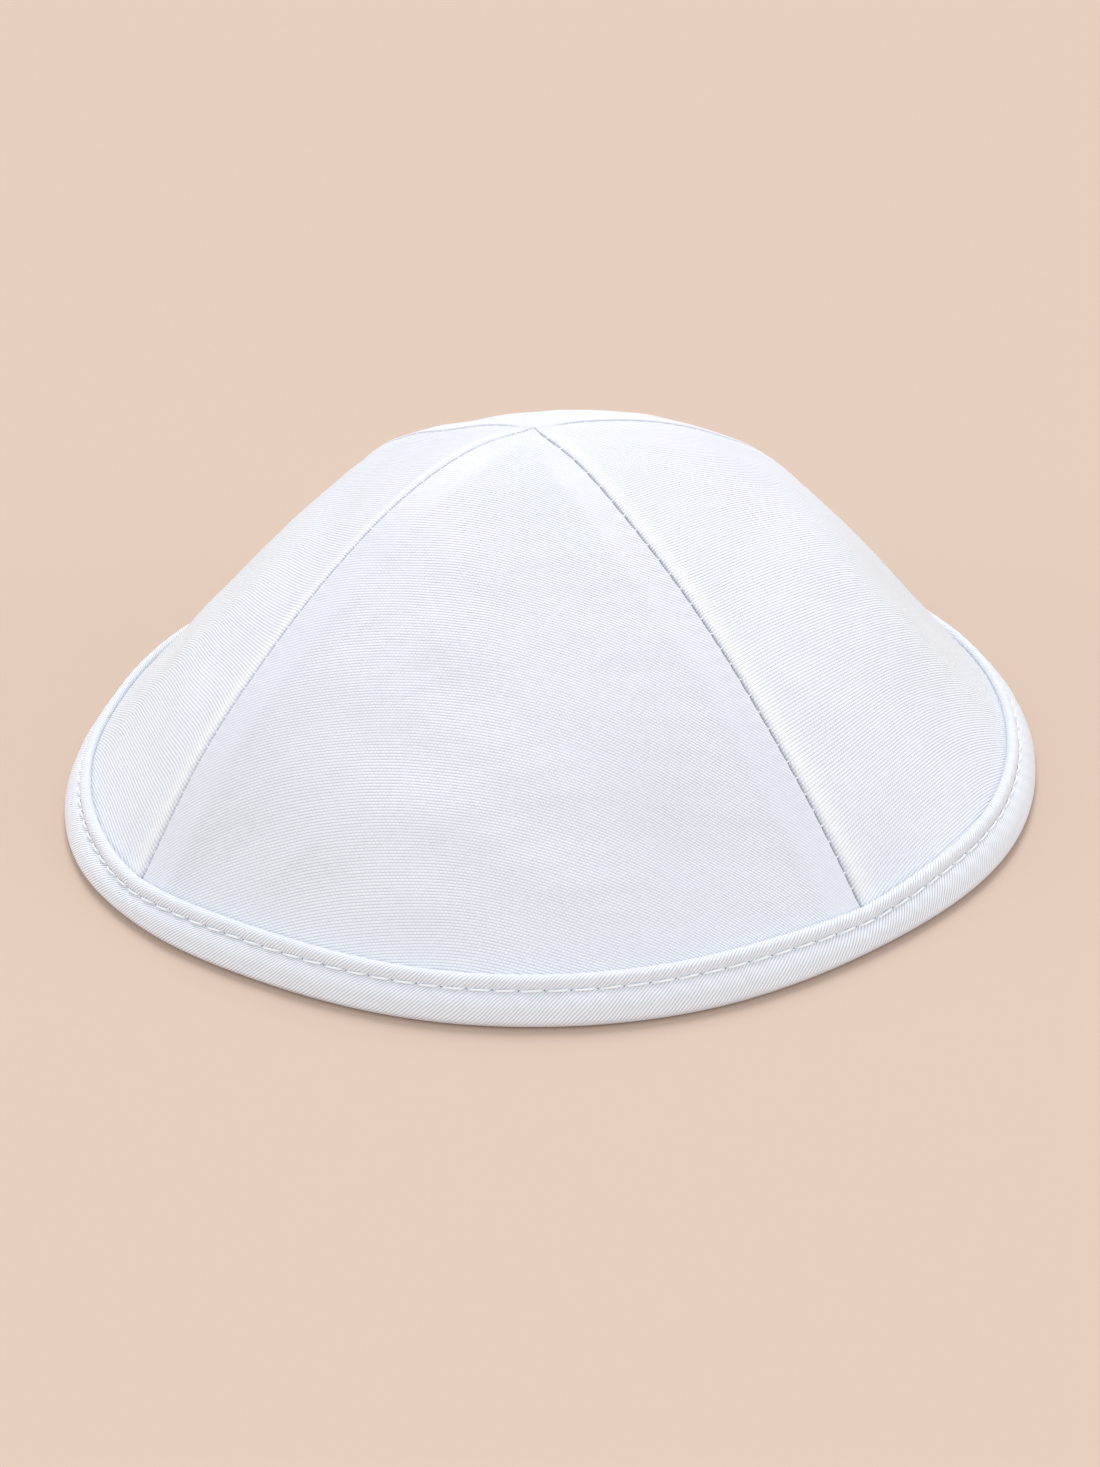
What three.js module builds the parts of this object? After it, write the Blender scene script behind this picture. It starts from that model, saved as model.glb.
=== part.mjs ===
import * as THREE from "three";

// A kippah: a satin skullcap of four panels, its mouth bound with a folded bias tape, lying mouth down.
// Millimetres, +Z up. The origin is the middle of the mouth, on the surface that the binding rests on.
// The front panel faces -Y, and the seams stand at 45, 135, 225 and 315 degrees from +X.

const MOUTH_RADIUS = 85; // to the widest line of the binding
const CLOTH = 1.0; // wall of a panel: satin on its backing
const TAPE = 1.0; // each side of the binding: folded tape, two layers
const GAP = 0.3; // kept between neighbouring pieces
const TIP_REACH = 0.8; // the panels' points stop this far from the axis
const TAPE_REACH = 78.7; // where the tape's upper edge lies on the middle of a panel
const TAPE_DIP = 0.8; // how much lower it lies where it crosses a seam
const PANEL_END_REACH = 81.0; // the panels' raw edge, inside the binding
const PANEL_HALF_ANGLE = 45;

const PANEL_COLUMNS = 16;
const PANEL_ROWS = 20;
const TAPE_SEGMENTS = 112;

// From the crown down: how far out the seams have come, and the height of each seam there.
const SEAM_LINES = [
  { reach: 0.0, frontLeft: 60.1, frontRight: 60.1, backLeft: 60.1, backRight: 60.1 },
  { reach: 13.0, frontLeft: 59.5, frontRight: 57.0, backLeft: 56.8, backRight: 57.8 },
  { reach: 26.0, frontLeft: 55.3, frontRight: 50.9, backLeft: 52.1, backRight: 54.1 },
  { reach: 39.0, frontLeft: 47.7, frontRight: 43.3, backLeft: 47.3, backRight: 48.4 },
  { reach: 52.0, frontLeft: 37.6, frontRight: 33.6, backLeft: 39.9, backRight: 40.2 },
  { reach: 65.5, frontLeft: 24.2, frontRight: 21.0, backLeft: 25.2, backRight: 25.2 },
  { reach: 78.6, frontLeft: 6.1, frontRight: 6.1, backLeft: 6.1, backRight: 6.1 },
  { reach: 83.0, frontLeft: 0.9, frontRight: 0.9, backLeft: 0.9, backRight: 0.9 },
];

// How squarely each panel runs from seam to seam: 0 is round, 1 a straight line, below 0 it bellies out.
const SQUARENESS = [
  { reach: 0.0, left: 0.65, right: 0.65, back: 0.65, front: 0.65 },
  { reach: 13.0, left: 0.7, right: 0.5, back: 0.4, front: 0.55 },
  { reach: 26.0, left: 0.7, right: 0.4, back: 0.1, front: 0.45 },
  { reach: 39.0, left: 0.7, right: 0.3, back: 0.0, front: 0.35 },
  { reach: 52.0, left: 0.5, right: 0.2, back: 0.0, front: 0.2 },
  { reach: 65.5, left: 0.25, right: 0.1, back: 0.0, front: 0.1 },
  { reach: 78.6, left: -0.05, right: -0.05, back: -0.05, front: -0.05 },
  { reach: 83.0, left: -0.05, right: -0.05, back: -0.05, front: -0.05 },
];

// The mouth is not a true circle: how far it stands out, in or past MOUTH_RADIUS, round from +X.
const MOUTH_WAVES = [
  { at: 0, out: -0.3 },
  { at: 22, out: -0.8 },
  { at: 45, out: -1.1 },
  { at: 70, out: 0.0 },
  { at: 90, out: 0.3 },
  { at: 135, out: 0.0 },
  { at: 160, out: -0.5 },
  { at: 180, out: -1.3 },
  { at: 200, out: 0.2 },
  { at: 215, out: 1.0 },
  { at: 230, out: 0.2 },
  { at: 247, out: -0.9 },
  { at: 270, out: 0.5 },
  { at: 292, out: 1.2 },
  { at: 315, out: 0.0 },
  { at: 338, out: 0.8 },
];

// Where a seam runs under the tape, its turned-in allowances push the cloth out.
const SEAM_CORNER = { reach: 76, tall: 12, wide: 9, out: 0.9 };

// Soft dents and folds: across is -1 to 1 between a panel's seams, wide and tall are in millimetres,
// and rise is how far the cloth stands out, or in where it is negative.
const FOLDS = [
  { panel: "front", across: -0.45, reach: 72, wide: 13, tall: 9, rise: 0.8 },
  { panel: "front", across: 0.0, reach: 74, wide: 11, tall: 9, rise: 0.6 },
  { panel: "front", across: -0.25, reach: 58, wide: 18, tall: 16, rise: -0.8 },
  { panel: "front", across: 0.65, reach: 70, wide: 12, tall: 12, rise: -1.0 },
  { panel: "right", across: 0.05, reach: 64, wide: 9, tall: 15, rise: 0.9 },
  { panel: "right", across: 0.3, reach: 70, wide: 14, tall: 10, rise: -1.6 },
  { panel: "left", across: 0.35, reach: 68, wide: 7, tall: 16, rise: 0.9 },
  { panel: "left", across: -0.1, reach: 66, wide: 12, tall: 14, rise: -1.0 },
  { panel: "back", across: 0.3, reach: 62, wide: 16, tall: 16, rise: -1.0 },
  { panel: "back", across: -0.4, reach: 66, wide: 12, tall: 14, rise: 0.7 },
];

// The binding's section below the panels' edge, from its widest line under and up inside. The flat
// land between the two points at height 0 is what the cap rests on.
const TAPE_UNDERSIDE = [
  { inside: 0.0, z: 1.3 },
  { inside: 0.2, z: 0.7 },
  { inside: 0.6, z: 0.2 },
  { inside: 1.2, z: 0.0 },
  { inside: 4.5, z: 0.0 },
  { inside: 5.5, z: 0.7 },
];

const PANELS = [
  { name: "right", middle: 0, seams: ["frontRight", "backRight"] },
  { name: "back", middle: 90, seams: ["backRight", "backLeft"] },
  { name: "left", middle: 180, seams: ["backLeft", "frontLeft"] },
  { name: "front", middle: 270, seams: ["frontLeft", "frontRight"] },
];

const radians = THREE.MathUtils.degToRad;

// A smooth curve through one column of a table, by the table's first column.
function curveThrough(rows, key, column) {
  const slope = rows.map((row, i) => {
    const before = rows[Math.max(i - 1, 0)];
    const after = rows[Math.min(i + 1, rows.length - 1)];
    return (after[column] - before[column]) / (after[key] - before[key]);
  });
  return (at) => {
    let i = rows.findIndex((row) => row[key] > at) - 1;
    if (i < 0) i = at < rows[0][key] ? 0 : rows.length - 2;
    const span = rows[i + 1][key] - rows[i][key];
    const t = (at - rows[i][key]) / span;
    const ease = t * t * (3 - 2 * t);
    return (
      rows[i][column] * (1 - ease) +
      rows[i + 1][column] * ease +
      slope[i] * span * t * (1 - t) ** 2 +
      slope[i + 1] * span * t * t * (t - 1)
    );
  };
}

const seamHeight = {};
for (const seam of ["frontLeft", "frontRight", "backLeft", "backRight"]) {
  seamHeight[seam] = curveThrough(SEAM_LINES, "reach", seam);
}
const squareness = {};
for (const panel of PANELS) {
  squareness[panel.name] = curveThrough(SQUARENESS, "reach", panel.name);
}
const turnedWaves = [-360, 0, 360].flatMap((turn) =>
  MOUTH_WAVES.map((row) => ({ at: row.at + turn, out: row.out })),
);
const mouthWave = curveThrough(turnedWaves, "at", "out");

const bell = (distance, width) => Math.exp(-((distance / width) ** 2));

// The panel's height above the mouth before its folds, blended from seam to seam.
function heightAt(panel, across, reach) {
  const share = 0.5 + 0.5 * Math.sin((across * Math.PI) / 2);
  const [first, last] = panel.seams.map((seam) => seamHeight[seam](reach));
  return THREE.MathUtils.lerp(first, last, share);
}

// A point of a panel's outside, and the way out of the cloth there, in the upright plane at its angle.
function outsideOf(panel, across, reach) {
  const angle = radians(panel.middle + across * PANEL_HALF_ANGLE);
  const straight = Math.cos(radians(PANEL_HALF_ANGLE)) / Math.cos(radians(across * PANEL_HALF_ANGLE));
  const square = squareness[panel.name](reach);
  const fromSeam = (1 - Math.abs(across)) * PANEL_HALF_ANGLE;
  const corner =
    SEAM_CORNER.out * bell(fromSeam, SEAM_CORNER.wide) * bell(reach - SEAM_CORNER.reach, SEAM_CORNER.tall);
  const turn = THREE.MathUtils.euclideanModulo(THREE.MathUtils.radToDeg(angle), 360);
  const wave = mouthWave(turn) * (reach / TAPE_REACH) ** 4;
  const step = 0.5;
  const fall = heightAt(panel, across, reach - step) - heightAt(panel, across, reach + step);
  const out = new THREE.Vector2(fall, 2 * step).normalize();
  let rise = 0;
  for (const fold of FOLDS.filter((row) => row.panel === panel.name)) {
    const aside = radians((across - fold.across) * PANEL_HALF_ANGLE) * reach;
    const edge = 1 - Math.max(Math.abs(across), reach / TAPE_REACH) ** 6;
    rise += fold.rise * bell(aside, fold.wide) * bell(reach - fold.reach, fold.tall) * Math.max(edge, 0);
  }
  const radius = reach * (1 - square + square * straight) + corner + wave;
  const point = new THREE.Vector2(radius, heightAt(panel, across, reach)).addScaledVector(out, rise);
  return { angle, point, out };
}

// Turns a point of the upright plane at an angle into a point in space.
function inSpace(angle, point) {
  return new THREE.Vector3(point.x * Math.cos(angle), point.x * Math.sin(angle), point.y);
}

// A closed body from its points and the triangles between them.
function solidFrom(points, triangles) {
  const geometry = new THREE.BufferGeometry();
  geometry.setAttribute("position", new THREE.Float32BufferAttribute(points.flatMap((p) => p.toArray()), 3));
  geometry.setIndex(triangles);
  geometry.computeVertexNormals();
  return geometry;
}

function quad(triangles, a, b, c, d) {
  triangles.push(a, b, c, a, c, d);
}

// One panel: its outside and inside skins, joined round all four edges.
function panelGeometry(panel) {
  const points = [];
  const triangles = [];
  const row = PANEL_COLUMNS + 1;
  for (const depth of [0, CLOTH]) {
    for (let j = 0; j <= PANEL_ROWS; j++) {
      const reach = TIP_REACH + (PANEL_END_REACH - TIP_REACH) * (j / PANEL_ROWS);
      const side = THREE.MathUtils.radToDeg(Math.asin(GAP / 2 / reach)) / PANEL_HALF_ANGLE;
      for (let i = 0; i <= PANEL_COLUMNS; i++) {
        const across = (1 - side) * (2 * (i / PANEL_COLUMNS) - 1);
        const { angle, point, out } = outsideOf(panel, across, reach);
        points.push(inSpace(angle, point.clone().addScaledVector(out, -depth)));
      }
    }
  }
  const inside = row * (PANEL_ROWS + 1);
  for (let j = 0; j < PANEL_ROWS; j++) {
    for (let i = 0; i < PANEL_COLUMNS; i++) {
      const a = j * row + i;
      quad(triangles, a, a + row, a + row + 1, a + 1);
      quad(triangles, inside + a, inside + a + 1, inside + a + row + 1, inside + a + row);
    }
    const left = j * row;
    const right = left + PANEL_COLUMNS;
    quad(triangles, left, inside + left, inside + left + row, left + row);
    quad(triangles, right, right + row, inside + right + row, inside + right);
  }
  for (let i = 0; i < PANEL_COLUMNS; i++) {
    const low = PANEL_ROWS * row + i;
    quad(triangles, i, i + 1, inside + i + 1, inside + i);
    quad(triangles, low, inside + low, inside + low + 1, low + 1);
  }
  return solidFrom(points, triangles);
}

// The binding's section at an angle: a U of tape, folded over the panels' edge with the gap round it.
function tapeSection(turn) {
  const panel = PANELS[Math.floor((turn + PANEL_HALF_ANGLE) / (2 * PANEL_HALF_ANGLE)) % PANELS.length];
  const fromMiddle = THREE.MathUtils.euclideanModulo(turn - panel.middle + 180, 360) - 180;
  const across = fromMiddle / PANEL_HALF_ANGLE;
  const top = TAPE_REACH + TAPE_DIP * across ** 4;
  const reaches = [top, (top + PANEL_END_REACH) / 2, PANEL_END_REACH + GAP];
  const away = (reach, distance) => {
    const { point, out } = outsideOf(panel, across, reach);
    return point.clone().addScaledVector(out, distance);
  };
  const within = CLOTH + GAP;
  const widest = MOUTH_RADIUS + mouthWave(turn);
  return [
    ...reaches.slice(0, 2).map((reach) => away(reach, GAP + TAPE)),
    ...TAPE_UNDERSIDE.map((row) => new THREE.Vector2(widest - row.inside, row.z)),
    ...reaches.slice(0, 2).reverse().map((reach) => away(reach, -within - TAPE)),
    ...reaches.map((reach) => away(reach, -within)),
    ...reaches.reverse().map((reach) => away(reach, GAP)),
  ];
}

function bindingGeometry() {
  const points = [];
  const triangles = [];
  let ring = 0;
  for (let k = 0; k < TAPE_SEGMENTS; k++) {
    const turn = (360 * k) / TAPE_SEGMENTS;
    const section = tapeSection(turn);
    ring = section.length;
    points.push(...section.map((point) => inSpace(radians(turn), point)));
  }
  for (let k = 0; k < TAPE_SEGMENTS; k++) {
    const here = k * ring;
    const next = ((k + 1) % TAPE_SEGMENTS) * ring;
    for (let i = 0; i < ring; i++) {
      const j = (i + 1) % ring;
      quad(triangles, here + i, here + j, next + j, next + i);
    }
  }
  return solidFrom(points, triangles);
}

function satin(color, roughness) {
  return new THREE.MeshStandardMaterial({ color, roughness, metalness: 0 });
}

const kippah = new THREE.Group();
for (const panel of PANELS) {
  const mesh = new THREE.Mesh(panelGeometry(panel), satin(0xe9ebf4, 0.45));
  mesh.name = `panel_${panel.name}`;
  kippah.add(mesh);
}
const binding = new THREE.Mesh(bindingGeometry(), satin(0xeceef5, 0.4));
binding.name = "rim_binding";
kippah.add(binding);

export default kippah;
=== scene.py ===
"""Looks of a white satin kippah lying mouth down: sewn satin panels, a stitched bias tape round the mouth.

The form is worked in millimetres with +Z up and turned into metres where the meshes are made. The origin
is the middle of the mouth on the surface that the cap rests on, and the front panel faces -Y.
"""

import math

import bpy
import numpy as np
from mathutils import Matrix, Vector


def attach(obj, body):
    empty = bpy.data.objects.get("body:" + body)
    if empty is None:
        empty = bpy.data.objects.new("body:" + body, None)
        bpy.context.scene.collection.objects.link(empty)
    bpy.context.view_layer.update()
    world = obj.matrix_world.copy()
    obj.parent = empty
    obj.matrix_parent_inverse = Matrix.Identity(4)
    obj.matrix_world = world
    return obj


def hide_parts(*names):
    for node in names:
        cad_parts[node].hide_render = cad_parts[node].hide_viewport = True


MM = 0.001

# ---- The cap's form, the same as the frame's ----

MOUTH_RADIUS = 85.0  # to the widest line of the binding
CLOTH = 1.0  # wall of a panel, the turned-in allowances included
TIP_REACH = 0.35  # the panels' points stop this far from the axis
TAPE_REACH = 78.7  # where the tape's upper edge lies on the middle of a panel
TAPE_DIP = 0.8  # how much lower it lies where it crosses a seam
PANEL_END_REACH = 81.0  # the panels' raw edge, inside the binding
HALF_ANGLE = 45.0  # of a panel, from its middle to its seams

# From the crown down: how far out the seams have come, and the height of each seam there.
SEAM_LINES = {
    "reach": (0.0, 13.0, 26.0, 39.0, 52.0, 65.5, 78.6, 83.0),
    "front_left": (60.1, 59.5, 55.3, 47.7, 37.6, 24.2, 6.1, 0.9),
    "front_right": (60.1, 57.0, 50.9, 43.3, 33.6, 21.0, 6.1, 0.9),
    "back_left": (60.1, 56.8, 52.1, 47.3, 39.9, 25.2, 6.1, 0.9),
    "back_right": (60.1, 57.8, 54.1, 48.4, 40.2, 25.2, 6.1, 0.9),
}

# How squarely each panel runs from seam to seam: 0 is round, 1 a straight line, below 0 it bellies out.
SQUARENESS = {
    "reach": (0.0, 13.0, 26.0, 39.0, 52.0, 65.5, 78.6, 83.0),
    "left": (0.65, 0.7, 0.7, 0.7, 0.5, 0.25, -0.05, -0.05),
    "right": (0.65, 0.5, 0.4, 0.3, 0.2, 0.1, -0.05, -0.05),
    "back": (0.65, 0.4, 0.1, 0.0, 0.0, 0.0, -0.05, -0.05),
    "front": (0.65, 0.55, 0.45, 0.35, 0.2, 0.1, -0.05, -0.05),
}

# The mouth is not a true circle: how far it stands in or out, round from +X.
MOUTH_WAVES = {
    "at": (0, 22, 45, 70, 90, 135, 160, 180, 200, 215, 230, 247, 270, 292, 315, 338),
    "out": (-0.3, -0.8, -1.1, 0, 0.3, 0, -0.5, -1.3, 0.2, 1.0, 0.2, -0.9, 0.5, 1.2, 0, 0.8),
}

# Where a seam runs under the tape, its turned-in allowances push the cloth out.
CORNER_REACH, CORNER_TALL, CORNER_WIDE, CORNER_OUT = 76.0, 12.0, 9.0, 0.9

# Soft dents and folds. across is -1 to 1 between a panel's seams, wide and tall are in millimetres, and
# rise is how far the cloth stands out, or in where it is negative.
FOLDS = [
    # panel, across, reach, wide, tall, rise
    ("front", -0.45, 72, 13, 9, 0.8),
    ("front", 0.0, 74, 11, 9, 0.6),
    ("front", -0.25, 58, 18, 16, -0.8),
    ("front", 0.65, 70, 12, 12, -1.0),
    ("right", 0.05, 64, 9, 15, 0.9),
    ("right", 0.3, 70, 14, 10, -1.6),
    ("left", 0.35, 68, 7, 16, 0.9),
    ("left", -0.1, 66, 12, 14, -1.0),
    ("back", 0.3, 62, 16, 16, -1.0),
    ("back", -0.4, 66, 12, 14, 0.7),
]

PANELS = {
    # name: angle of its middle from +X, and its two seams
    "right": (0.0, "front_right", "back_right"),
    "back": (90.0, "back_right", "back_left"),
    "left": (180.0, "back_left", "front_left"),
    "front": (270.0, "front_left", "front_right"),
}
WEAVE_TURN = {"right": 38.0, "back": 0.0, "left": -38.0, "front": 7.0}  # how far a panel's rows slant
SEAM_ANGLES = {"back_right": 45.0, "back_left": 135.0, "front_left": 225.0, "front_right": 315.0}

# ---- Sewing ----

SEAM_GAP = 0.03  # between two panels' edges at the bottom of a seam's ditch
DITCH_DEEP, DITCH_WIDE = 0.6, 0.25
SEAM_PITCH = 3.1  # from one stitch of a seam to the next
PUCKER_WIDE = 0.5  # along the seam, where a stitch pulls the ditch shut
ROLLED = ("left", "right")  # panels whose edge rolls up beside the seam
ROLL_AT, ROLL_RISE = 1.2, 0.26
ROLL_WIDE = (0.55, 2.3)  # towards the seam, and away from it
ALLOWANCE_WIDE, ALLOWANCE_EDGE, ALLOWANCE_RISE = 6.4, 2.2, 0.2  # the rest carry the pressed allowances

RIM_STITCHES = 134
STITCH_LONG, STITCH_THICK = 3.2, 0.4
STITCH_SLANT = 0.18  # how much one end lies above the other
HOLE_WIDE = 0.3

# The tape's outer face: down from its fold along the straight line to its widest, and how far it stands
# out of that line. It starts in the slot, on the cloth of the panel.
TAPE_FACE = [
    # down, out
    (0.8, -1.34),
    (0.25, -1.4),
    (-0.2, -0.9),
    (-0.05, -0.3),
    (0.5, 0.16),
    (1.05, 0.22),
    (1.55, 0.1),
    (1.95, -0.2),
    (2.2, -0.34),
    (2.45, -0.24),
    (2.9, 0.02),
    (3.6, 0.24),
    (4.7, 0.38),
    (5.8, 0.34),
    (6.8, 0.16),
    (7.6, 0.0),
]
TAPE_FACE_LONG = 7.7
GROOVE_STATION = 8  # the row of TAPE_FACE at the bottom of the stitch groove

# Below the widest line: how far inside it, and the height. The cap rests between the points at 0.
TAPE_UNDERSIDE = [(0.2, 0.7), (0.6, 0.2), (1.2, 0.0), (2.8, 0.0), (4.5, 0.0), (5.5, 0.7)]

# The tape's inner face, up from there: down from the fold, and how far it stands in towards the head.
TAPE_BACK = [(4.2, 0.1), (3.1, 0.05), (2.2, -0.3), (1.5, 0.1), (0.6, 0.15), (0.05, -0.15), (-0.1, -0.6), (0.2, -1.1)]
BACK_GROOVE_STATION = 2

TAPE_SEGMENTS = RIM_STITCHES * 8
TAPE_FINE = 60  # points round the tape's section

PANEL_COLUMNS = 152
PANEL_ROWS = 236

# ---- Curves and the surface of the cap ----


def curve_through(keys, values, at):
    """A smooth curve through a table's column, at an array of places."""
    keys, values = np.asarray(keys, float), np.asarray(values, float)
    rows = np.arange(len(keys))
    before, after = np.maximum(rows - 1, 0), np.minimum(rows + 1, len(keys) - 1)
    slope = (values[after] - values[before]) / (keys[after] - keys[before])
    i = np.clip(np.searchsorted(keys, at, side="right") - 1, 0, len(keys) - 2)
    span = keys[i + 1] - keys[i]
    t = (at - keys[i]) / span
    ease = t * t * (3 - 2 * t)
    level = values[i] * (1 - ease) + values[i + 1] * ease
    return level + span * t * (1 - t) * (slope[i] * (1 - t) - slope[i + 1] * t)


def bell(distance, width):
    return np.exp(-((distance / width) ** 2))


def smooth_step(value, low, high):
    t = np.clip((value - low) / (high - low), 0.0, 1.0)
    return t * t * (3 - 2 * t)


def mouth_wave(degrees):
    at, out = np.array(MOUTH_WAVES["at"], float), np.array(MOUTH_WAVES["out"])
    keys = np.concatenate([at - 360, at, at + 360])
    return curve_through(keys, np.tile(out, 3), np.mod(degrees, 360))


def height_at(panel, across, reach):
    """The panel's height above the mouth before its folds, blended from seam to seam."""
    _, first, last = PANELS[panel]
    share = 0.5 + 0.5 * np.sin(across * math.pi / 2)
    low = curve_through(SEAM_LINES["reach"], SEAM_LINES[first], reach)
    high = curve_through(SEAM_LINES["reach"], SEAM_LINES[last], reach)
    return low * (1 - share) + high * share


def outside_of(panel, across, reach):
    """The angle, radius and height of the panel's outside, and the way out of the cloth there."""
    across, reach = np.broadcast_arrays(np.asarray(across, float), np.asarray(reach, float))
    turn = PANELS[panel][0] + across * HALF_ANGLE
    straight = math.cos(math.radians(HALF_ANGLE)) / np.cos(np.radians(across * HALF_ANGLE))
    square = curve_through(SQUARENESS["reach"], SQUARENESS[panel], reach)
    from_seam = (1 - np.abs(across)) * HALF_ANGLE
    corner = CORNER_OUT * bell(from_seam, CORNER_WIDE) * bell(reach - CORNER_REACH, CORNER_TALL)
    wave = mouth_wave(turn) * (reach / TAPE_REACH) ** 4
    step = 0.5
    fall = height_at(panel, across, reach - step) - height_at(panel, across, reach + step)
    long = np.hypot(fall, 2 * step)
    out_radius, out_up = fall / long, 2 * step / long
    rise = np.zeros_like(reach)
    edge = np.maximum(1 - np.maximum(np.abs(across), reach / TAPE_REACH) ** 6, 0)
    for name, fold_across, fold_reach, wide, tall, fold_rise in FOLDS:
        if name == panel:
            aside = np.radians((across - fold_across) * HALF_ANGLE) * reach
            rise = rise + fold_rise * bell(aside, wide) * bell(reach - fold_reach, tall) * edge
    radius = reach * (1 - square + square * straight) + corner + wave + rise * out_radius
    height = height_at(panel, across, reach) + rise * out_up
    return turn, radius, height, out_radius, out_up


def in_space(turn, radius, height):
    a = np.radians(turn)
    return np.stack([radius * np.cos(a), radius * np.sin(a), height], axis=-1)


def ripple(x, y, seed, size):
    """Soft random swells of about the given size, between about -1 and 1."""
    draw = np.random.default_rng(seed)
    total = np.zeros(np.broadcast(x, y).shape)
    for _ in range(9):
        angle, phase = draw.uniform(0, math.pi), draw.uniform(0, 2 * math.pi)
        wave = size * draw.uniform(0.7, 1.6)
        total += np.sin((x * math.cos(angle) + y * math.sin(angle)) * 2 * math.pi / wave + phase)
    return total / 4.5


# ---- Meshes ----


def make_mesh(name, points, quads, uv=None, layers=None, smooth=True):
    """A piece from points in millimetres and quads, with a value for each point in uv and in each layer."""
    mesh = bpy.data.meshes.new(name)
    mesh.vertices.add(len(points))
    mesh.vertices.foreach_set("co", (np.asarray(points) * MM).astype(np.float32).ravel())
    quads = np.asarray(quads, dtype=np.int32)
    mesh.loops.add(quads.size)
    mesh.loops.foreach_set("vertex_index", quads.ravel())
    mesh.polygons.add(len(quads))
    mesh.polygons.foreach_set("loop_start", np.arange(0, quads.size, 4, dtype=np.int32))
    mesh.polygons.foreach_set("use_smooth", np.full(len(quads), smooth))
    if uv is not None:
        layer = mesh.uv_layers.new(name="cloth")
        layer.data.foreach_set("uv", np.asarray(uv, np.float32)[quads.ravel()].ravel())
    for key, values in (layers or {}).items():
        attribute = mesh.attributes.new(key, "FLOAT", "POINT")
        attribute.data.foreach_set("value", np.asarray(values, np.float32).ravel())
    mesh.update(calc_edges=True)
    mesh.validate()
    piece = bpy.data.objects.new(name, mesh)
    bpy.context.scene.collection.objects.link(piece)
    return piece


def grid_quads(rows, columns, wrap_rows=False, wrap_columns=False, start=0, turned=False):
    """Quads over a grid of points, rows by columns, which may close on itself either way."""
    i = np.arange(rows if wrap_rows else rows - 1)[:, None]
    j = np.arange(columns if wrap_columns else columns - 1)[None, :]
    a = i * columns + j
    b = i * columns + (j + 1) % columns
    c = (i + 1) % rows * columns + (j + 1) % columns
    d = (i + 1) % rows * columns + j
    order = (a, b, c, d) if turned else (a, d, c, b)
    return np.stack(np.broadcast_arrays(*order), axis=-1).reshape(-1, 4) + start


def seam_fraction(columns, reach):
    """How far from a seam each column lies, in millimetres, closer together beside the seam."""
    half = columns // 2
    wide = math.radians(HALF_ANGLE) * reach
    q = np.abs(np.arange(columns + 1) - half) / half
    q = 1 - q
    first = min(1.0, half * 0.12 / wide)
    return wide * (first * q + (1 - first) * q * q), wide


def roll_share(from_seam):
    """How far up the rolled edge beside a seam each place lies, from 0 to 1."""
    return bell(from_seam - ROLL_AT, np.where(from_seam < ROLL_AT, *ROLL_WIDE))


def seam_rise(panel, from_seam, along, wide, strength):
    """What the sewing does to a panel beside its seams: how far the cloth stands out."""
    nearest = np.abs((along / SEAM_PITCH + 0.5) % 1.0 - 0.5) * SEAM_PITCH
    pulled = bell(nearest, PUCKER_WIDE)
    ditch = -DITCH_DEEP * (1 - 0.45 * pulled) * bell(from_seam, DITCH_WIDE * (1 - 0.2 * pulled))
    swell = bell(nearest - SEAM_PITCH / 2, SEAM_PITCH * 0.35)
    room = smooth_step(wide, 0.4, 3.0) * strength
    if panel in ROLLED:
        roll = ROLL_RISE * roll_share(from_seam) * (0.9 + 0.2 * swell)
        settle = 0.15 * bell(from_seam - 7.0, 2.5)
        return ditch * room + (roll * strength - settle) * smooth_step(wide, 1.0, 5.0)
    pressed = ALLOWANCE_RISE * (1 - smooth_step(
        from_seam, ALLOWANCE_WIDE - ALLOWANCE_EDGE, ALLOWANCE_WIDE + ALLOWANCE_EDGE))
    puff = 0.07 * swell * bell(from_seam - 1.3, 1.2)
    return ditch * room + (pressed + puff) * smooth_step(wide, 1.0, 7.0)


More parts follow.
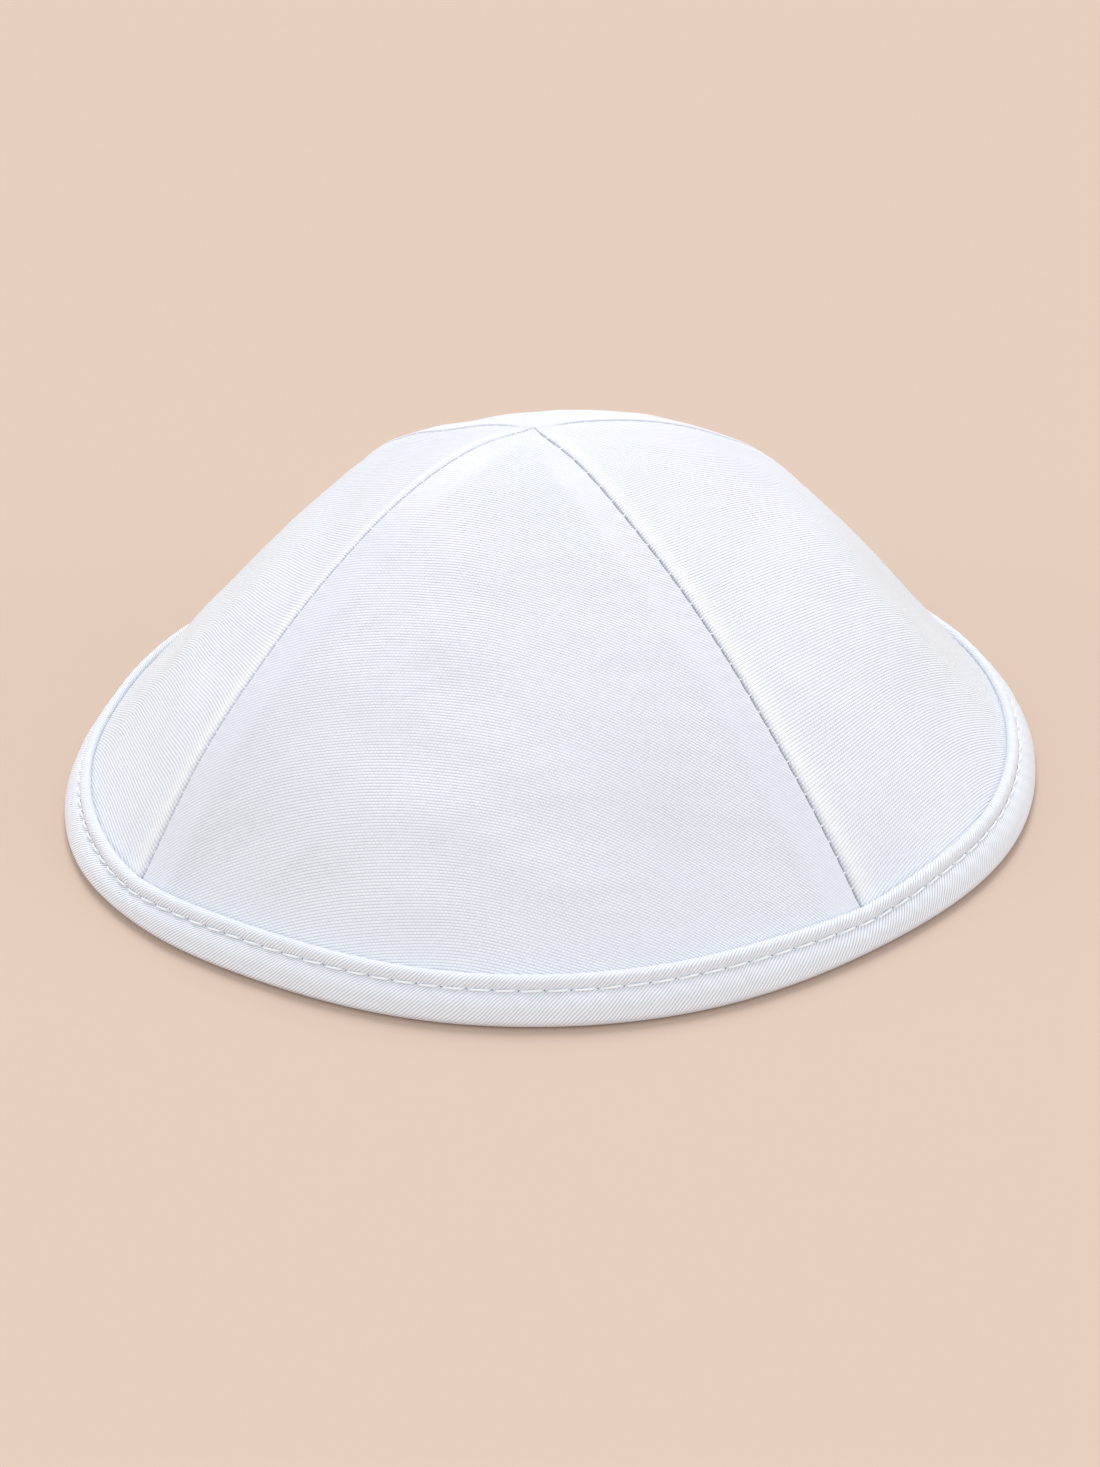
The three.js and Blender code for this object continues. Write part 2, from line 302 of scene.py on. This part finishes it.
def panel_piece(panel):
    """One panel: outside and inside skins joined round all four edges, so it is a closed body."""
    rows, columns = PANEL_ROWS + 1, PANEL_COLUMNS + 1
    reach = TIP_REACH + (PANEL_END_REACH - TIP_REACH) * np.linspace(0, 1, rows) ** 0.96
    from_seam, wide = np.zeros((rows, columns)), np.zeros((rows, 1))
    for j in range(rows):
        from_seam[j], wide[j, 0] = seam_fraction(PANEL_COLUMNS, reach[j])
    side = np.sign(np.arange(columns) - PANEL_COLUMNS // 2)[None, :]
    reach = reach[:, None]
    edge = SEAM_GAP / 2 / (reach * math.radians(HALF_ANGLE))
    across = side * (1 - from_seam / wide) * (1 - edge)
    turn, radius, height, out_radius, out_up = outside_of(panel, across, reach)

    # The flat pattern: how far down the cloth from the crown, and the way the weave runs across.
    middle = in_space(*outside_of(panel, 0.0, reach[:, 0])[:3])
    steps = np.linalg.norm(np.diff(middle, axis=0), axis=1)
    along = np.concatenate([[reach[0, 0]], reach[0, 0] + np.cumsum(steps)])[:, None]
    aside, slant = np.radians(across * HALF_ANGLE), math.radians(WEAVE_TURN[panel])
    middle_radius = np.hypot(middle[:, 0], middle[:, 1])
    cloth_down = np.interp(radius * np.cos(aside), middle_radius, along[:, 0])
    cloth_over = radius * np.sin(aside)
    flat_x = cloth_over * math.cos(slant) + cloth_down * math.sin(slant)
    flat_y = cloth_down * math.cos(slant) - cloth_over * math.sin(slant)

    # Behind the crown the seams are pressed flat; everywhere else they are drawn in.
    behind = smooth_step(np.sin(np.radians(turn)), -0.2, 0.2)
    strength = 1 - behind * 0.8 * (1 - smooth_step(reach, 36, 60))
    seed = 40 + 3 * list(PANELS).index(panel)
    below = TAPE_REACH - reach
    soft = smooth_step(below, 0.0, 8.0) * smooth_step(wide, 4.0, 18.0)
    away = smooth_step(from_seam, 1.0, 9.0)
    rise = seam_rise(panel, from_seam, along, wide, strength)
    rise = rise + 0.16 * ripple(flat_x, flat_y, seed, 17.0) * soft * away
    rise = rise + 0.045 * ripple(flat_x, flat_y, seed + 1, 6.0) * soft * away
    rise = rise - 0.04 * bell(below - 0.6, 1.6)
    rise = rise * smooth_step(reach, PANEL_END_REACH, TAPE_REACH - 0.6)

    skins = []
    for depth in (rise, -CLOTH + 0.35 * np.minimum(rise, 0)):
        skins.append(in_space(turn, radius + depth * out_radius, height + depth * out_up).reshape(-1, 3))
    points = np.concatenate(skins)
    inside = rows * columns
    quads = [grid_quads(rows, columns), grid_quads(rows, columns, start=inside, turned=True)]
    down = np.arange(rows - 1) * columns
    left, right = down, down + columns - 1
    quads.append(np.stack([left, inside + left, inside + left + columns, left + columns], axis=-1))
    quads.append(np.stack([right, right + columns, inside + right + columns, inside + right], axis=-1))
    over = np.arange(columns - 1)
    low = (rows - 1) * columns + over
    quads.append(np.stack([over, over + 1, inside + over + 1, inside + over], axis=-1))
    quads.append(np.stack([low, inside + low, inside + low + 1, low + 1], axis=-1))

    if panel in ROLLED:
        band = np.zeros((rows, columns))
    else:
        band = (1 - smooth_step(from_seam, ALLOWANCE_WIDE - 2.6, ALLOWANCE_WIDE + 2.0)) * smooth_step(wide, 5, 14)
    # ditch: where painted shade darkens the bottom of each seam's ditch, on top of its real dip
    ditch = bell(from_seam, 0.2) * strength
    # roll: where a painted highlight brightens the rolled edge beside the seam, as if it caught the light
    roll = roll_share(from_seam) * smooth_step(wide, 1.0, 6.0) * strength * (panel in ROLLED)
    uv = np.stack([flat_x, flat_y], axis=-1).reshape(-1, 2)
    layers = {"allowance": band, "ditch": ditch, "roll": roll}
    layers = {key: np.tile(values.ravel(), 2) for key, values in layers.items()}
    return make_mesh(f"satin_{panel}", points, np.concatenate(quads), np.tile(uv, (2, 1)), layers)


# ---- The binding ----


def panel_at(turn):
    """The panel at each angle, and how far across it the angle lies."""
    names = list(PANELS)
    which = (np.floor((turn + HALF_ANGLE) / (2 * HALF_ANGLE)).astype(int)) % len(names)
    middle = np.array([PANELS[name][0] for name in names])[which]
    across = (np.mod(turn - middle + 180, 360) - 180) / HALF_ANGLE
    return names, which, across


def cloth_at(turn, reach, distance):
    """Radius and height of a place off the cloth's outside, by the angle round the cap."""
    names, which, across = panel_at(turn)
    place = np.zeros((len(turn), 2))
    reach = np.broadcast_to(reach, turn.shape)
    for k, name in enumerate(names):
        mine = which == k
        _, radius, height, out_radius, out_up = outside_of(name, across[mine], reach[mine])
        place[mine, 0] = radius + distance * out_radius
        place[mine, 1] = height + distance * out_up
    return place


def tape_stations(turn):
    """The points of the tape's section at each angle, from the slot down outside and up inside."""
    _, _, across = panel_at(turn)
    top = TAPE_REACH + TAPE_DIP * across**4
    fold, back_fold = cloth_at(turn, top, 1.3), cloth_at(turn, top, -2.3)
    widest = np.stack([MOUTH_RADIUS + mouth_wave(turn), np.full(len(turn), 1.3)], axis=-1)
    foot = widest + np.array([-TAPE_UNDERSIDE[-1][0], TAPE_UNDERSIDE[-1][1] - 1.3])

    def along_line(start, end, down, out, stretch_from=3.0, long=TAPE_FACE_LONG):
        line = end - start
        length = np.linalg.norm(line, axis=1, keepdims=True)
        way = line / length
        normal = np.stack([-way[:, 1], way[:, 0]], axis=-1)
        if down > stretch_from:
            down = stretch_from + (down - stretch_from) * (length - stretch_from) / (long - stretch_from)
        return start + way * down + normal * out

    stations = [along_line(fold, widest, down, out) for down, out in TAPE_FACE]
    stations += [widest + np.array([-inside, height - 1.3]) for inside, height in TAPE_UNDERSIDE]
    stations += [along_line(back_fold, foot, down, -out, long=5.2) for down, out in TAPE_BACK]
    stations += [cloth_at(turn, (top + PANEL_END_REACH) / 2, -1.15), cloth_at(turn, PANEL_END_REACH + 0.3, -1.1)]
    stations += [cloth_at(turn, PANEL_END_REACH + 0.3, 0.1), cloth_at(turn, (top + PANEL_END_REACH) / 2, 0.15)]
    return np.stack(stations, axis=1)


def closed_spline(count, fine):
    """Weights that turn the stations of a closed section into finer points on a smooth line."""
    at = np.arange(fine) * count / fine
    i = np.floor(at).astype(int)
    t = at - i
    weights = np.zeros((fine, count))
    shares = (
        -0.5 * t + t**2 - 0.5 * t**3,
        1 - 2.5 * t**2 + 1.5 * t**3,
        0.5 * t + 2 * t**2 - 1.5 * t**3,
        -0.5 * t**2 + 0.5 * t**3,
    )
    for offset, share in zip((-1, 0, 1, 2), shares):
        weights[np.arange(fine), (i + offset) % count] += share
    return weights


def stitch_phase(turn, shift=0.0):
    """How far each angle lies from the middle of its rim stitch, in millimetres."""
    pitch = 2 * math.pi * (MOUTH_RADIUS - 4) / RIM_STITCHES
    return ((turn / 360 * RIM_STITCHES + shift + 0.5) % 1.0 - 0.5) * pitch


def binding_piece():
    turn = np.arange(TAPE_SEGMENTS) * 360 / TAPE_SEGMENTS
    stations = tape_stations(turn)
    count = stations.shape[1]
    weights = closed_spline(count, TAPE_FINE)
    section = np.einsum("fs,asx->afx", weights, stations)
    section[..., 1] = np.maximum(section[..., 1], 0.0)
    ahead = np.roll(section, -1, axis=1) - np.roll(section, 1, axis=1)
    ahead /= np.linalg.norm(ahead, axis=2, keepdims=True)
    normal = np.stack([-ahead[..., 1], ahead[..., 0]], axis=-1)

    place = np.arange(TAPE_FINE)[None, :] * count / TAPE_FINE
    lower = len(TAPE_FACE) + len(TAPE_UNDERSIDE)
    length = turn[:, None] * math.pi / 180 * MOUTH_RADIUS
    pull = bell(np.abs(stitch_phase(turn)) - np.abs(stitch_phase(turn)).max(), 0.55)[:, None]
    rise = -0.2 * pull * bell(place - GROOVE_STATION, 1.6)
    rise = rise + 0.1 * (1 - pull) * bell(place - (GROOVE_STATION - 4), 2.0)
    rise = rise - 0.15 * pull * bell(place - lower - BACK_GROOVE_STATION, 1.2)
    face = smooth_step(place, 3, 6) * (1 - smooth_step(place, 13.5, 15.5))
    rise = rise + 0.07 * ripple(length, place * 0.6, 71, 9.0) * face
    rise = rise + 0.05 * np.sin(length * 2 * math.pi / 3.9 - place * 0.9) * bell(place - 11, 2.5)
    section = section + normal * rise[..., None]
    section[..., 1] = np.maximum(section[..., 1], 0.0)

    points = in_space(turn[:, None], section[..., 0], section[..., 1]).reshape(-1, 3)
    quads = grid_quads(TAPE_SEGMENTS, TAPE_FINE, wrap_rows=True, wrap_columns=True, turned=True)
    steps = np.linalg.norm(np.diff(section, axis=1, append=section[:, :1]), axis=2)
    down = np.cumsum(steps, axis=1) - steps
    uv = np.stack([np.broadcast_to(length, down.shape), down], axis=-1).reshape(-1, 2)
    piece = make_mesh("binding_tape", points, quads, uv)
    mend_uv_wrap(piece, TAPE_FINE, 2 * math.pi * MOUTH_RADIUS, down)
    return piece, section, normal, place[0]


def mend_uv_wrap(piece, fine, round_it, down):
    """Carries the cloth's coordinates on past the last point of each loop, so the weave has no break."""
    mesh = piece.data
    loops = np.zeros(len(mesh.loops), dtype=np.int32)
    mesh.loops.foreach_get("vertex_index", loops)
    uv = np.zeros((len(mesh.loops), 2), dtype=np.float32)
    layer = mesh.uv_layers["cloth"]
    layer.data.foreach_get("uv", uv.ravel())
    flat = uv.reshape(-1, 4, 2)
    ring, column = (loops // fine).reshape(-1, 4), (loops % fine).reshape(-1, 4)
    segments = down.shape[0]
    over = (ring == 0) & (ring.max(axis=1, keepdims=True) == segments - 1)
    flat[..., 0] += np.where(over, round_it, 0)
    total = down[:, -1] + (down[:, -1] - down[:, -2])
    past = (column == 0) & (column.max(axis=1, keepdims=True) == fine - 1)
    flat[..., 1] += np.where(past, total[ring], 0)
    layer.data.foreach_set("uv", flat.astype(np.float32).ravel())


# ---- Threads ----


def capsules(name, starts, middles, ends, ups, thick, long_steps=14, around=8, plies=True):
    """Short lengths of thread, each a closed round body through three points, its ends sunk and tapered."""
    starts, middles, ends, ups = (np.asarray(x, float) for x in (starts, middles, ends, ups))
    t = np.linspace(0, 1, long_steps)[None, :, None]
    line = starts[:, None] * (1 - t) * (1 - 2 * t) + middles[:, None] * 4 * t * (1 - t) + ends[:, None] * t * (2 * t - 1)
    way = np.gradient(line, axis=1)
    way /= np.linalg.norm(way, axis=2, keepdims=True)
    side = np.cross(way, ups[:, None])
    side /= np.linalg.norm(side, axis=2, keepdims=True)
    up = np.cross(side, way)
    taper = np.sqrt(np.clip(1 - (2 * t - 1) ** 8, 0.02, 1))
    angle = np.arange(around) * 2 * math.pi / around
    length = np.linalg.norm(ends - starts, axis=1)[:, None, None]
    twist = 0.11 * np.cos(2 * angle[None, None] - t * length / 0.35) if plies else 0.0
    radius = thick / 2 * taper * (1 + twist)
    ring = (
        line[:, :, None]
        + side[:, :, None] * (radius * np.cos(angle))[..., None]
        + up[:, :, None] * (radius * np.sin(angle))[..., None]
    )
    each = long_steps * around
    points, quads = [], []
    body = grid_quads(long_steps, around, wrap_columns=True, turned=True)
    ends_quads = []
    for first, flip in ((0, False), ((long_steps - 1) * around, True)):
        for k in range(0, around - 2, 2):
            quad = [first, first + k + 1, first + k + 2, first + (k + 3) % around]
            ends_quads.append(quad if flip else quad[::-1])
    one = np.concatenate([body, np.array(ends_quads)])
    points = ring.reshape(-1, 3)
    quads = (one[None] + (np.arange(len(starts)) * each)[:, None, None]).reshape(-1, 4)
    return make_mesh(name, points, quads)


def section_place(section, normal, place, station, turn_steps, lift):
    """A point off the tape at a station of its section, at fractional steps round the cap."""
    k = np.argmin(np.abs(place - station))
    i = np.floor(turn_steps).astype(int) % TAPE_SEGMENTS
    j = (i + 1) % TAPE_SEGMENTS
    t = (turn_steps - np.floor(turn_steps))[:, None]
    flat = section[i, k] * (1 - t) + section[j, k] * t
    out = normal[i, k] * (1 - t) + normal[j, k] * t
    flat = flat + out * lift
    turn = turn_steps * 360 / TAPE_SEGMENTS
    up = in_space(turn, out[:, 0], out[:, 1])
    return in_space(turn, flat[:, 0], flat[:, 1]), up


def rim_thread(name, section, normal, place, station, seed, shift=0.0):
    """The stitches round the rim at a station of the tape's section, and the needle holes between them."""
    draw = np.random.default_rng(seed)
    steps = TAPE_SEGMENTS / RIM_STITCHES
    pitch = 2 * math.pi * (MOUTH_RADIUS - 4) / RIM_STITCHES
    centre = (np.arange(RIM_STITCHES) - shift) * steps
    half = STITCH_LONG / 2 / pitch * steps * draw.uniform(0.94, 1.05, RIM_STITCHES)
    slant = STITCH_SLANT / 2 * draw.uniform(0.5, 1.5, RIM_STITCHES)
    middles, ups = section_place(section, normal, place, station, centre, 0.3)
    starts, _ = section_place(section, normal, place, station, centre - half, 0.04)
    ends, _ = section_place(section, normal, place, station, centre + half, 0.04)
    starts[:, 2] -= slant
    ends[:, 2] += slant
    thread = capsules(name, starts, middles, ends, ups, STITCH_THICK)
    hole, up = section_place(section, normal, place, station, centre + steps / 2, 0.0)
    return thread, hole, up


def pits(name, centres, ups, wide, deep, around=8, rings=6):
    """Needle holes as painted shade: each a closed flattened dark bead sunk into the cloth."""
    centres, ups = np.asarray(centres), np.asarray(ups)
    side = np.cross(ups, np.array([0.0, 0.0, 1.0]))
    side /= np.linalg.norm(side, axis=1, keepdims=True)
    other = np.cross(ups, side)
    polar = np.linspace(0.06, math.pi - 0.06, rings)
    angle = np.arange(around) * 2 * math.pi / around
    ring = (
        centres[:, None, None]
        + side[:, None, None] * (wide / 2 * np.sin(polar)[:, None] * np.cos(angle))[None, :, :, None]
        + other[:, None, None] * (wide / 2 * np.sin(polar)[:, None] * np.sin(angle))[None, :, :, None]
        + ups[:, None, None] * (deep * np.cos(polar))[None, :, None, None]
    )
    body = grid_quads(rings, around, wrap_columns=True)
    caps = []
    for first, flip in ((0, False), ((rings - 1) * around, True)):
        for k in range(0, around - 2, 2):
            quad = [first, first + k + 1, first + k + 2, first + (k + 3) % around]
            caps.append(quad[::-1] if flip else quad)
    one = np.concatenate([body, np.array(caps)])
    quads = (one[None] + (np.arange(len(centres)) * rings * around)[:, None, None]).reshape(-1, 4)
    return make_mesh(name, ring.reshape(-1, 3), quads)


def seam_threads():
    """The stitches that pull the seams shut, one short bar across the ditch at each pucker."""
    starts, middles, ends, ups = [], [], [], []
    for seam, degrees in SEAM_ANGLES.items():
        reach = np.linspace(2.0, TAPE_REACH + TAPE_DIP, 900)
        panel = next(name for name, row in PANELS.items() if row[2] == seam)
        middle = in_space(*outside_of(panel, 0.0, np.linspace(TIP_REACH, PANEL_END_REACH, 900))[:3])
        steps = np.linalg.norm(np.diff(middle, axis=0), axis=1)
        along = TIP_REACH + np.concatenate([[0], np.cumsum(steps)])
        places = np.arange(1, 40) * SEAM_PITCH
        places = places[places < along[-1] - 4.0]
        at = np.interp(places, along, np.linspace(TIP_REACH, PANEL_END_REACH, 900))
        _, radius, height, out_radius, out_up = outside_of(panel, 1.0, at)
        for r, z, o, u in zip(radius, height, out_radius, out_up):
            bar = []
            for aside, lift in ((-0.32, -0.32), (0.0, -0.1), (0.32, -0.32)):
                turn = degrees + math.degrees(aside / r)
                bar.append(in_space(turn, r + lift * o, z + lift * u))
            starts.append(bar[0])
            middles.append(bar[1])
            ends.append(bar[2])
            ups.append(in_space(degrees, o, u))
    return capsules("seam_threads", starts, middles, ends, ups, 0.24, long_steps=8, around=6, plies=False)


# ---- Materials ----


class Nodes:
    """A short way to write a material's nodes."""

    def __init__(self, name):
        self.material = bpy.data.materials.new(name)
        self.material.use_nodes = True
        self.tree = self.material.node_tree
        self.tree.nodes.clear()
        self.output = self.tree.nodes.new("ShaderNodeOutputMaterial")

    def add(self, kind, **inputs):
        node = self.tree.nodes.new(kind)
        for key, value in inputs.items():
            self.put(node, key, value)
        return node

    def put(self, node, key, value):
        socket = node.inputs[int(key[1:])] if key[0] == "_" else node.inputs[key.replace("_", " ")]
        if isinstance(value, bpy.types.NodeSocket):
            self.tree.links.new(value, socket)
        else:
            socket.default_value = value

    def math(self, operation, a, b=0.0, c=0.0):
        node = self.add("ShaderNodeMath", _0=a, _1=b, _2=c)
        node.operation = operation
        return node.outputs[0]

    def spread(self, value, low, high, to_low, to_high):
        node = self.add("ShaderNodeMapRange", Value=value)
        node.interpolation_type = "SMOOTHSTEP"
        for key, number in (("From Min", low), ("From Max", high), ("To Min", to_low), ("To Max", to_high)):
            node.inputs[key].default_value = number
        return node.outputs[0]

    def mix(self, share, first, second):
        node = self.tree.nodes.new("ShaderNodeMix")
        node.data_type = "RGBA"
        for socket, value in ((node.inputs[0], share), (node.inputs[6], first), (node.inputs[7], second)):
            if isinstance(value, bpy.types.NodeSocket):
                self.tree.links.new(value, socket)
            else:
                socket.default_value = value
        return node.outputs[2]

    def noise(self, vector, scale, detail=2.0):
        node = self.add("ShaderNodeTexNoise", Vector=vector, Scale=scale, Detail=detail)
        return node.outputs[0]

    def attribute(self, name):
        node = self.tree.nodes.new("ShaderNodeAttribute")
        node.attribute_name = name
        return node.outputs["Fac"]

    def finish(self, shader):
        self.tree.links.new(shader.outputs[0], self.output.inputs[0])
        return self.material


SATIN = (0.935, 0.962, 1.0, 1.0)
SATIN_SHADE = (0.66, 0.68, 0.77, 1.0)
SATIN_LINED = (0.825, 0.835, 0.915, 1.0)
# The lightest white is a painted highlight on the rolled seam edges
SATIN_PAINTED_HIGHLIGHT = (0.965, 0.98, 1.0, 1.0)
THREAD = (1.0, 1.0, 1.0, 1.0)
TAPE = (0.92, 0.945, 0.99, 1.0)


def weave_height(nodes, across, down, float_long, row_pitch, step):
    """Rows of rounded floats, each row shifted along the last, as heights between 0 and 1."""
    row_at = nodes.math("DIVIDE", down, row_pitch)
    row = nodes.math("FLOOR", row_at)
    shifted = nodes.math("MULTIPLY_ADD", row, step, nodes.math("DIVIDE", across, float_long))
    swell = nodes.math("ABSOLUTE", nodes.math("SINE", nodes.math("MULTIPLY", shifted, math.pi)))
    ridge = nodes.math("ABSOLUTE", nodes.math("SINE", nodes.math("MULTIPLY", row_at, math.pi)))
    floats = nodes.math("MULTIPLY_ADD", nodes.math("POWER", swell, 0.5), 0.5, 0.5)
    return nodes.math("MULTIPLY", floats, nodes.math("POWER", ridge, 0.6))


def satin_material():
    nodes = Nodes("satin_cloth")
    coordinates = nodes.add("ShaderNodeTexCoord").outputs["UV"]
    split = nodes.add("ShaderNodeSeparateXYZ", Vector=coordinates)
    drift = nodes.noise(coordinates, 0.03, 1.0)
    down = nodes.math("MULTIPLY_ADD", drift, 2.0, split.outputs[1])
    weave = weave_height(nodes, split.outputs[0], down, 0.62, 0.46, 0.37)
    band = nodes.attribute("allowance")
    slub = nodes.noise(coordinates, 0.9, 3.0)
    cloudy = nodes.noise(coordinates, 0.035, 2.0)

    depth = nodes.spread(band, 0.0, 1.0, 1.0, 0.6)
    shade = nodes.math("MULTIPLY", nodes.math("SUBTRACT", 1.0, weave), depth)
    shade = nodes.math("MULTIPLY", shade, nodes.spread(slub, 0.3, 0.7, 0.8, 1.1))
    color = nodes.mix(nodes.math("MULTIPLY", band, 0.6), SATIN, SATIN_LINED)
    color = nodes.mix(nodes.spread(cloudy, 0.35, 0.7, 0.0, 0.12), color, SATIN_SHADE)
    color = nodes.mix(shade, color, SATIN_SHADE)
    # Painted highlight: the rolled edge beside the seams is lightened towards a brighter white
    roll = nodes.math("MULTIPLY", nodes.attribute("roll"), nodes.spread(weave, 0.0, 1.0, 0.45, 1.0))
    color = nodes.mix(roll, color, SATIN_PAINTED_HIGHLIGHT)
    # Painted shade: the seam's ditch is darkened towards a dark blue-grey
    color = nodes.mix(nodes.math("MULTIPLY", nodes.attribute("ditch"), 0.7), color, (0.36, 0.36, 0.43, 1.0))

    height = nodes.math("MULTIPLY_ADD", slub, 0.15, nodes.math("MULTIPLY", weave, depth))
    bump = nodes.add("ShaderNodeBump", Height=height, Distance=0.00012, Strength=1.0)
    tangent = nodes.add("ShaderNodeTangent")
    tangent.direction_type = "UV_MAP"
    tangent.uv_map = "cloth"
    shader = nodes.add(
        "ShaderNodeBsdfPrincipled",
        Base_Color=color,
        Roughness=nodes.spread(slub, 0.2, 0.8, 0.36, 0.5),
        Anisotropic=0.45,
        Normal=bump.outputs[0],
        Tangent=tangent.outputs[0],
    )
    shader.inputs["Specular IOR Level"].default_value = 0.5
    shader.inputs["Sheen Weight"].default_value = 0.15
    shader.inputs["Sheen Roughness"].default_value = 0.4
    return nodes.finish(shader)


def tape_material():
    nodes = Nodes("satin_tape")
    coordinates = nodes.add("ShaderNodeTexCoord").outputs["UV"]
    split = nodes.add("ShaderNodeSeparateXYZ", Vector=coordinates)
    drift = nodes.noise(coordinates, 0.06, 1.0)
    slanted = nodes.math("ADD", split.outputs[0], split.outputs[1])
    slanted = nodes.math("MULTIPLY_ADD", drift, 2.0, slanted)
    ridge = nodes.math("ABSOLUTE", nodes.math("SINE", nodes.math("MULTIPLY", slanted, math.pi / 0.64)))
    weave = nodes.math("POWER", ridge, 0.6)
    slub = nodes.noise(coordinates, 0.8, 3.0)
    color = nodes.mix(nodes.math("MULTIPLY", nodes.math("SUBTRACT", 1.0, weave), 0.85), TAPE, SATIN_SHADE)
    height = nodes.math("MULTIPLY_ADD", slub, 0.3, weave)
    bump = nodes.add("ShaderNodeBump", Height=height, Distance=0.00013, Strength=1.0)
    shader = nodes.add(
        "ShaderNodeBsdfPrincipled",
        Base_Color=color,
        Roughness=nodes.spread(slub, 0.2, 0.8, 0.34, 0.46),
        Normal=bump.outputs[0],
    )
    shader.inputs["Specular IOR Level"].default_value = 0.5
    shader.inputs["Sheen Weight"].default_value = 0.12
    shader.inputs["Sheen Roughness"].default_value = 0.4
    return nodes.finish(shader)


def thread_material():
    nodes = Nodes("polyester_thread")
    coordinates = nodes.add("ShaderNodeTexCoord").outputs["Object"]
    fibre = nodes.noise(coordinates, 6000.0, 3.0)
    bump = nodes.add("ShaderNodeBump", Height=fibre, Distance=0.00002, Strength=0.5)
    shader = nodes.add(
        "ShaderNodeBsdfPrincipled",
        Base_Color=nodes.mix(nodes.spread(fibre, 0.3, 0.7, 0.0, 1.0), THREAD, SATIN),
        Roughness=0.3,
        Normal=bump.outputs[0],
    )
    return nodes.finish(shader)


# The needle holes' dark grey is painted shade, the shadow inside each hole
def hole_shade_material():
    nodes = Nodes("needle_hole")
    coordinates = nodes.add("ShaderNodeTexCoord").outputs["Object"]
    speck = nodes.noise(coordinates, 3000.0)
    shader = nodes.add(
        "ShaderNodeBsdfPrincipled",
        Base_Color=nodes.mix(speck, (0.22, 0.22, 0.27, 1.0), (0.34, 0.34, 0.4, 1.0)),
        Roughness=0.9,
    )
    return nodes.finish(shader)


def floor_material():
    nodes = Nodes("backdrop_paper")
    shader = nodes.add("ShaderNodeBsdfPrincipled", Base_Color=(0.638, 0.491, 0.402, 1.0), Roughness=1.0)
    shader.inputs["Specular IOR Level"].default_value = 0.0
    return nodes.finish(shader)


# ---- The stage ----


def make_floor():
    half = 30000.0
    points = [(-half, -half, -0.15), (half, -half, -0.15), (half, half, -0.15), (-half, half, -0.15)]
    floor = make_mesh("backdrop_floor", points, [(0, 1, 2, 3)], smooth=False)
    floor.data.materials.append(floor_material())


def add_sun(name, towards, strength, soft_degrees, color=(1.0, 1.0, 1.0)):
    light = bpy.data.lights.new(name, "SUN")
    light.energy = strength
    light.angle = math.radians(soft_degrees)
    light.color = color
    lamp = bpy.data.objects.new(name, light)
    lamp.rotation_euler = Vector(towards).to_track_quat("Z", "Y").to_euler()
    bpy.context.scene.collection.objects.link(lamp)


def light_stage():
    world = bpy.data.worlds.new("studio")
    bpy.context.scene.world = world
    world.use_nodes = True
    background = world.node_tree.nodes["Background"]
    background.inputs[0].default_value = (0.93, 0.96, 1.0, 1.0)
    background.inputs[1].default_value = 0.73
    add_sun("overhead", (-0.1, 0.78, 1.0), 1.8, 30)
    add_sun("from_left", (-1.0, -0.3, 0.32), 0.45, 40)
    add_sun("from_right", (1.0, -0.2, 0.32), 0.55, 40)
    add_sun("from_front", (0.0, -1.0, 0.36), 0.3, 50)
    view = bpy.context.scene.view_settings
    view.view_transform = "Standard"
    view.look = "None"


def make_camera():
    azimuth, elevation, roll = math.radians(9.72), math.radians(28.82), math.radians(-2.81)
    target = Vector((0.2, 0.03, 2.15)) * MM
    forward = Vector((
        -math.sin(azimuth) * math.cos(elevation),
        math.cos(azimuth) * math.cos(elevation),
        -math.sin(elevation),
    ))
    right = Vector((math.cos(azimuth), math.sin(azimuth), 0.0))
    up = right.cross(forward)
    x = right * math.cos(roll) + up * math.sin(roll)
    y = up * math.cos(roll) - right * math.sin(roll)
    matrix = Matrix((x, y, -forward)).transposed().to_4x4()
    matrix.translation = target - forward * 0.416
    lens = bpy.data.cameras.new("camera")
    lens.lens = 57.5
    lens.clip_start = 0.01
    camera = bpy.data.objects.new("camera", lens)
    camera.matrix_world = matrix
    bpy.context.scene.collection.objects.link(camera)
    bpy.context.scene.camera = camera


# ---- The scene ----

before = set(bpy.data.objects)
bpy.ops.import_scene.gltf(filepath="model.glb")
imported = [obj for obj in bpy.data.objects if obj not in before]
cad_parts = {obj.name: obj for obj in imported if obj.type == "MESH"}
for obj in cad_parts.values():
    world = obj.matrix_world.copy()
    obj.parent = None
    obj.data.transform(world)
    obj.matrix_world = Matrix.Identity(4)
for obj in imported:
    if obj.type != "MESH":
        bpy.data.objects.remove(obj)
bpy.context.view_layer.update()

satin, thread = satin_material(), thread_material()
for panel in PANELS:
    cloth = panel_piece(panel)
    cloth.data.materials.append(satin)
    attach(cloth, "root")
    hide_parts(f"panel_{panel}")

tape, section, normal, place = binding_piece()
tape.data.materials.append(tape_material())
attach(tape, "root")
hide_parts("rim_binding")

back_station = len(TAPE_FACE) + len(TAPE_UNDERSIDE) + BACK_GROOVE_STATION
outer, holes, hole_ups = rim_thread("rim_stitches", section, normal, place, GROOVE_STATION, 5)
inner, _, _ = rim_thread("rim_stitches_inside", section, normal, place, back_station, 6)
seams = seam_threads()
for piece in (outer, inner, seams):
    piece.data.materials.append(thread)
# Dark beads as painted shade inside the needle holes between the rim stitches
needle_holes = pits("needle_holes", holes, hole_ups, HOLE_WIDE, 0.1)
needle_holes.data.materials.append(hole_shade_material())
for piece in (outer, inner, seams, needle_holes):
    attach(piece, "root")

make_floor()
light_stage()
make_camera()
